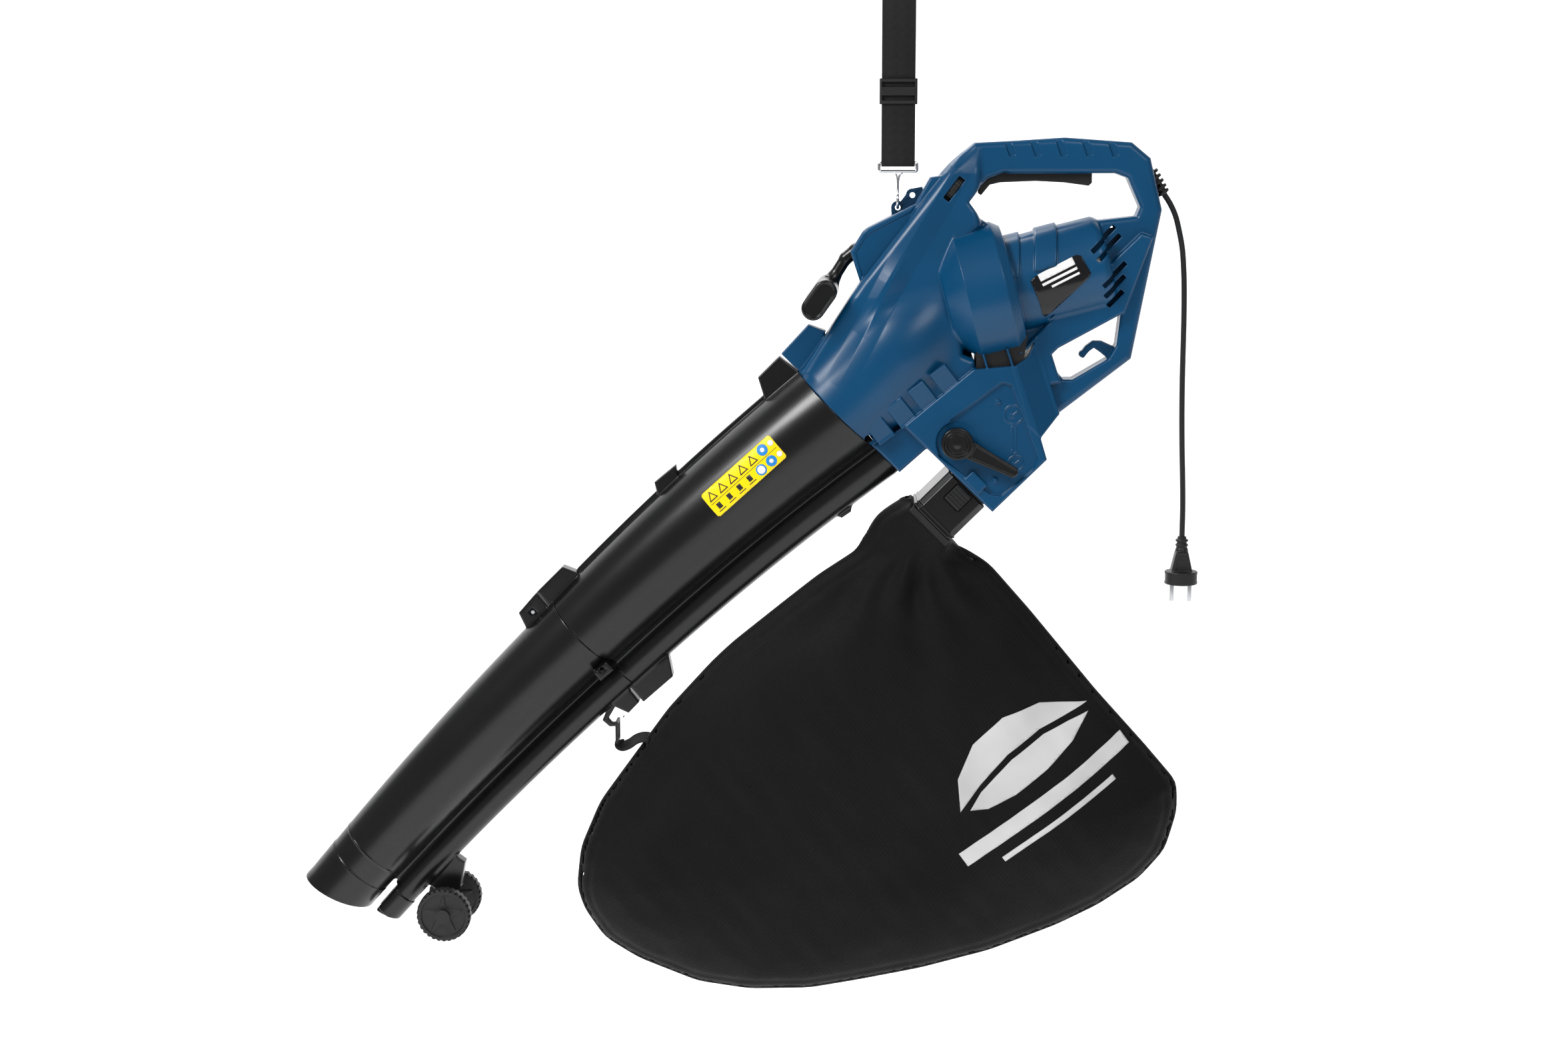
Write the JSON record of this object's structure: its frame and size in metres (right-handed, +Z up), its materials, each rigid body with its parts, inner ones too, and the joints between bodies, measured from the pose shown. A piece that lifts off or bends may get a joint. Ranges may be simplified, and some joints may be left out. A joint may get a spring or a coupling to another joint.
{
  "type": "leaf blower",
  "caption": "Electric hand-held leaf blower and vacuum with a two-part tube, changeover lever, wheels and collection bag, hanging from its strap.",
  "frame": {"origin": "the inside top of the shoulder strap's loop, where a shoulder or a hanger carries it", "axes": "+X towards the rear handle, +Z up as the blower hangs from its strap, +Y away from the changeover lever's side; the tubes point down towards -X"},
  "size_m": [0.984, 0.144, 1.141],
  "materials": {
    "blue_plastic": "satin moulded",
    "dark_blue_plastic": "satin moulded",
    "black_plastic": "semi-gloss moulded",
    "black_matt": "fine grained",
    "wheel_plastic": "fine grained",
    "cord_rubber": "smooth",
    "chrome": "polished",
    "steel": "turned",
    "lamination": "stacked",
    "copper": "bright",
    "brass": "bright",
    "webbing": "coarse woven",
    "bag_cloth": "fine woven",
    "board": "satin",
    "film": "satin",
    "label_yellow": "satin film",
    "badge_black": "gloss"
  },
  "bodies": {
    "strap": {"strap_webbing": "webbing", "strap_slider": "black_matt"},
    "hook": {"strap_hook": "chrome"},
    "trigger": {"trigger": "black_matt"},
    "dial": {"speed_dial": "black_matt"},
    "changeover": {"changeover_lever": "black_matt", "lever_cap": "black_matt", "flap_shaft": "steel", "changeover_flap": "black_matt"},
    "fan_rotor": {"motor_shaft": "steel", "armature": "copper", "commutator": "copper", "impeller": "black_matt", "impeller_nut": "steel"},
    "wheel_left": {"wheel_left": "wheel_plastic"},
    "wheel_right": {"wheel_right": "wheel_plastic"},
    "latch": {"latch_button": "black_matt"},
    "housing": {"strap_lug": "dark_blue_plastic", "housing_left": "blue_plastic", "housing_right": "blue_plastic", "housing_screws": "steel", "fan_housing": "black_matt", "motor_stator": "lamination", "brush_holders": "brass", "bearing_front": "steel", "bearing_rear": "steel", "main_switch": "black_matt", "capacitor": "film", "speed_board": "board", "trigger_pin": "steel", "badge_plate": "badge_black", "cord_gland": "cord_rubber", "cord_clamp": "black_matt", "mains_cord": "cord_rubber", "plug_body": "cord_rubber", "plug_pins": "steel", "upper_tube": "black_plastic", "lower_tube": "black_plastic", "tube_screws": "steel", "safety_label": "label_yellow", "wheel_axle": "steel", "axle_caps": "wheel_plastic", "bag_connector": "black_plastic", "latch_spring": "steel", "bag_collar": "black_matt", "dust_bag": "bag_cloth", "bag_tether": "webbing", "tether_clip": "black_matt", "handle_stem": "black_plastic", "handle_grip": "black_plastic", "handle_screw": "steel"}
  },
  "joints": [
    {"name": "hook_tilt", "type": "hinge", "parent": "strap", "child": "hook", "pos_m": [0, 0, -0.225], "axis": [1, 0, 0], "range_deg": [-25, 25]},
    {"name": "hook_swing", "type": "hinge", "parent": "hook", "child": "housing", "pos_m": [0, 0, -0.272], "axis": [0, 1, 0], "range_deg": [-12, 40]},
    {"name": "trigger_pull", "type": "hinge", "parent": "housing", "child": "trigger", "pos_m": [0.099, 0, -0.232], "axis": [0, -1, 0], "range_deg": [0, 4], "stiffness_Nm_per_rad": 3, "springref_deg": -4.58},
    {"name": "speed_dial_turn", "type": "hinge", "parent": "housing", "child": "dial", "pos_m": [0.059, -0.012, -0.252], "axis": [0.7986, 0, -0.6018], "range_deg": [0, 240]},
    {"name": "changeover_turn", "type": "hinge", "parent": "housing", "child": "changeover", "pos_m": [0.0645, 0, -0.518], "axis": [0, -1, 0], "range_deg": [0, 55]},
    {"name": "fan_spin", "type": "hinge", "parent": "housing", "child": "fan_rotor", "pos_m": [0.099, 0, -0.3605], "axis": [0.9686, 0, 0.2487], "continuous": true},
    {"name": "wheel_left_spin", "type": "hinge", "parent": "housing", "child": "wheel_left", "pos_m": [-0.4965, -0.035, -1.0485], "axis": [0, 1, 0], "continuous": true},
    {"name": "wheel_right_spin", "type": "hinge", "parent": "housing", "child": "wheel_right", "pos_m": [-0.4965, 0.035, -1.0485], "axis": [0, 1, 0], "continuous": true},
    {"name": "latch_press", "type": "slide", "parent": "housing", "child": "latch", "axis": [0, 1, 0], "range_m": [0, 0.003], "stiffness_N_per_m": 900, "springref_m": -0.002}
  ]
}
